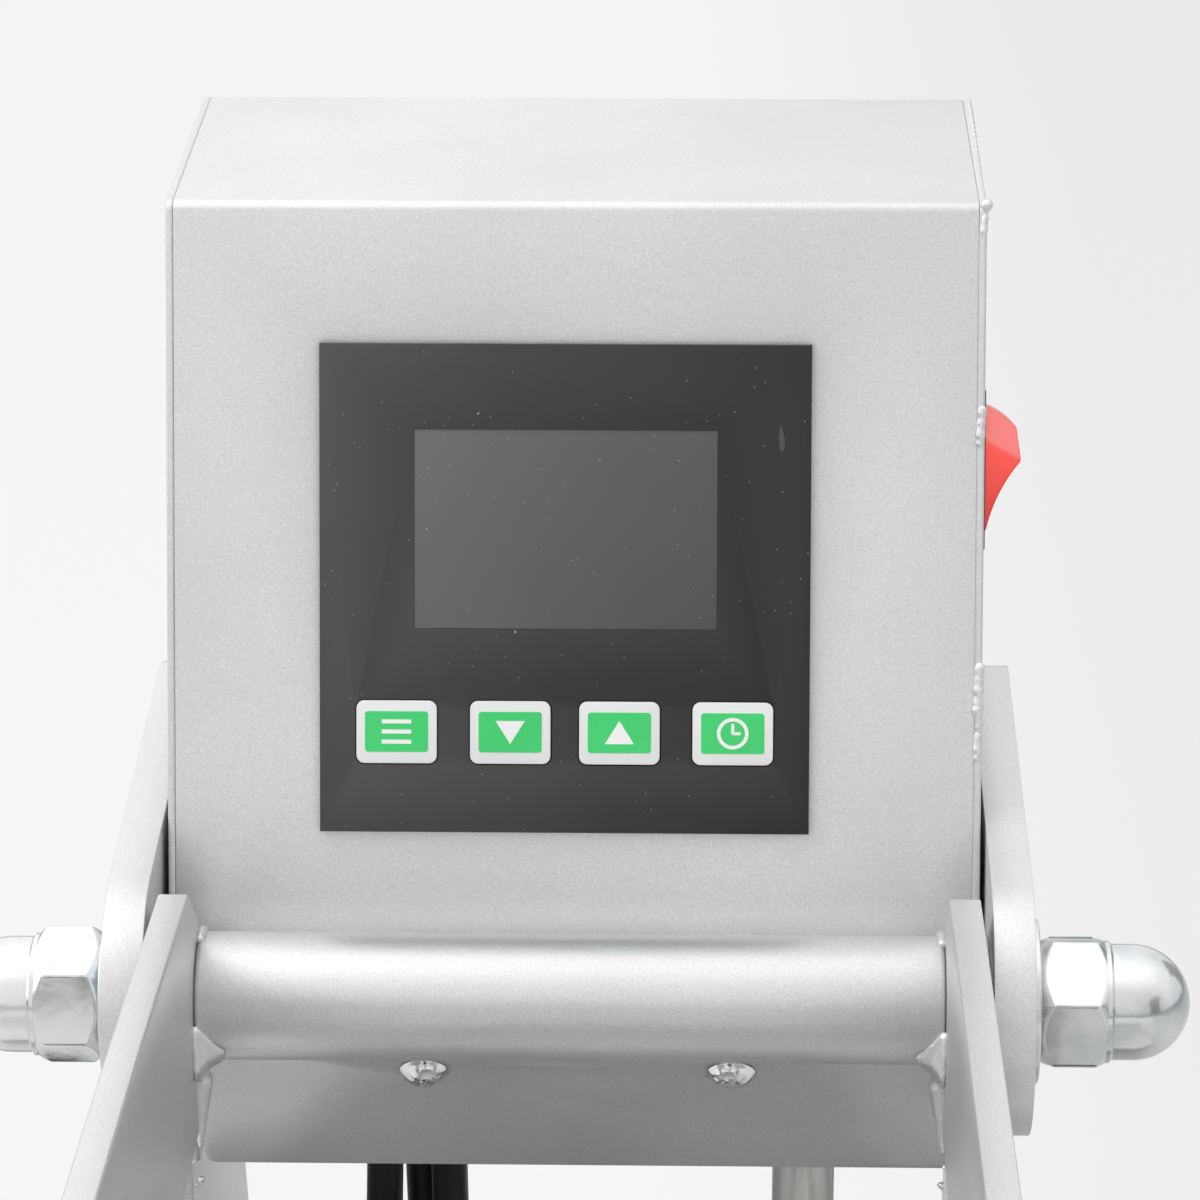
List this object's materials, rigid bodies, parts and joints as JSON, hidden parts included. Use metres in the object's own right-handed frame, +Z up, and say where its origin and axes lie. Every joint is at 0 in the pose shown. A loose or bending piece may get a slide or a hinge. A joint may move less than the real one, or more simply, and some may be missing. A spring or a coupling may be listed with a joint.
{
  "type": "flat heat press",
  "caption": "Clamshell flat heat press with a square heated platen, toggle handle, pressure knob and a tilted sheet-metal control box.",
  "frame": {"origin": "on the table under the middle of the press, without its mains lead behind", "axes": "+X to the user's right, +Y away from the user, +Z up; modelled closed"},
  "size_m": [0.4309, 0.807, 0.4055],
  "materials": {
    "silver_paint": "satin",
    "zinc": "bright",
    "bright_steel": "polished",
    "aluminium": "satin",
    "black_paint": "textured",
    "black_plastic": "matte",
    "window_plastic": "gloss",
    "key_rubber": "matte",
    "red_plastic": "gloss",
    "black_rubber": "matte",
    "red_silicone": "matte",
    "board": "matte",
    "cable_sheath": "matte",
    "sleeve_braid": "matte",
    "heater_steel": "satin"
  },
  "bodies": {
    "frame": {"base_rails": "silver_paint", "base_crossbars": "silver_paint", "rubber_feet": "black_rubber", "side_plate_left": "silver_paint", "side_plate_right": "silver_paint", "side_plate_bolts": "zinc", "platen_posts": "silver_paint", "lower_platen": "black_paint", "silicone_pad": "red_silicone", "box_shell": "silver_paint", "box_side_walls": "silver_paint", "box_bottom_cover": "silver_paint", "cover_screws": "bright_steel", "cable_glands": "black_rubber", "rocker_bezel": "black_plastic", "controller_front": "black_plastic", "display_window": "window_plastic", "controller_body": "black_plastic", "power_relay": "black_plastic", "pivot_stud": "zinc", "dome_nuts": "zinc", "pivot_washers": "zinc", "carrier_shaft": "zinc", "shaft_nuts": "zinc", "strut_bracket": "silver_paint", "mains_lead": "cable_sheath", "mains_coil": "cable_sheath", "mains_plug": "black_plastic", "earth_lead": "cable_sheath", "heater_lead": "cable_sheath", "sensor_sleeve": "sleeve_braid"},
    "handle": {"handle_arm_left": "silver_paint", "handle_arm_right": "silver_paint", "pivot_tube": "silver_paint", "handle_bar": "silver_paint", "handle_grip": "black_rubber", "handle_bolts": "zinc", "link_pins": "zinc"},
    "links": {"toggle_links": "zinc", "link_bolts": "zinc"},
    "carrier": {"carrier_bars": "silver_paint", "carrier_tube": "silver_paint", "carrier_bushes": "silver_paint", "spindle_beam": "silver_paint", "strut_cross_pin": "bright_steel"},
    "spindle": {"pressure_spindle": "bright_steel", "pressure_knob": "black_plastic"},
    "platen": {"heating_platen": "aluminium", "heater_element": "heater_steel", "platen_nut": "bright_steel", "insulation_board": "board", "platen_cover": "silver_paint", "cover_bolts": "zinc"},
    "strut_cylinder": {"strut_cylinder": "black_paint"},
    "strut_rod": {"strut_rod": "bright_steel"},
    "rocker": {"rocker": "red_plastic"},
    "menu_key": {"menu_key": "key_rubber"},
    "down_key": {"down_key": "key_rubber"},
    "up_key": {"up_key": "key_rubber"},
    "timer_key": {"timer_key": "key_rubber"}
  },
  "joints": [
    {"name": "handle_swing", "type": "hinge", "parent": "frame", "child": "handle", "pos_m": [0, 0.12, 0.26], "axis": [-1, 0, 0], "range_deg": [0, 65]},
    {"name": "link_swing", "type": "hinge", "parent": "handle", "child": "links", "pos_m": [0, 0.044, 0.207], "axis": [-1, 0, 0], "range_deg": [-93.02, 0]},
    {"name": "carrier_swing", "type": "hinge", "parent": "frame", "child": "carrier", "pos_m": [0, 0.19, 0.154], "axis": [-1, 0, 0], "range_deg": [0, 31.72], "deforming": ["heater_lead", "sensor_sleeve"]},
    {"name": "knob_turn", "type": "hinge", "parent": "carrier", "child": "spindle", "pos_m": [0, -0.102, 0.171], "axis": [0, 0, 1], "range_deg": [0, 864.1]},
    {"name": "platen_lift", "type": "slide", "parent": "carrier", "child": "platen", "axis": [0, 0, 1], "range_m": [0, 0.006]},
    {"name": "strut_tilt", "type": "hinge", "parent": "frame", "child": "strut_cylinder", "pos_m": [0, 0.27, 0.035], "axis": [-1, 0, 0], "range_deg": [0, 8.88]},
    {"name": "strut_extend", "type": "slide", "parent": "strut_cylinder", "child": "strut_rod", "axis": [0, -0.774, 0.6332], "range_m": [0, 0.01711]},
    {"name": "rocker_tilt", "type": "hinge", "parent": "frame", "child": "rocker", "pos_m": [0.077, 0.18254, 0.34826], "axis": [0, -0.9664, 0.2571], "range_deg": [0, 20]},
    {"name": "menu_key_press", "type": "slide", "parent": "frame", "child": "menu_key", "axis": [0, 0.9664, -0.2571], "range_m": [0, 0.0004], "stiffness_N_per_m": 600},
    {"name": "down_key_press", "type": "slide", "parent": "frame", "child": "down_key", "axis": [0, 0.9664, -0.2571], "range_m": [0, 0.0004], "stiffness_N_per_m": 600},
    {"name": "up_key_press", "type": "slide", "parent": "frame", "child": "up_key", "axis": [0, 0.9664, -0.2571], "range_m": [0, 0.0004], "stiffness_N_per_m": 600},
    {"name": "timer_key_press", "type": "slide", "parent": "frame", "child": "timer_key", "axis": [0, 0.9664, -0.2571], "range_m": [0, 0.0004], "stiffness_N_per_m": 600}
  ],
  "couplings": [
    {"joint": "link_swing", "follows": "handle_swing", "ratio": -1.4311},
    {"joint": "carrier_swing", "follows": "handle_swing", "ratio": 0.48797},
    {"joint": "knob_turn", "follows": "platen_lift", "rad_per_m": 2513.3},
    {"joint": "strut_tilt", "follows": "handle_swing", "ratio": 0.1366},
    {"joint": "strut_extend", "follows": "handle_swing", "m_per_rad": 0.015085}
  ]
}
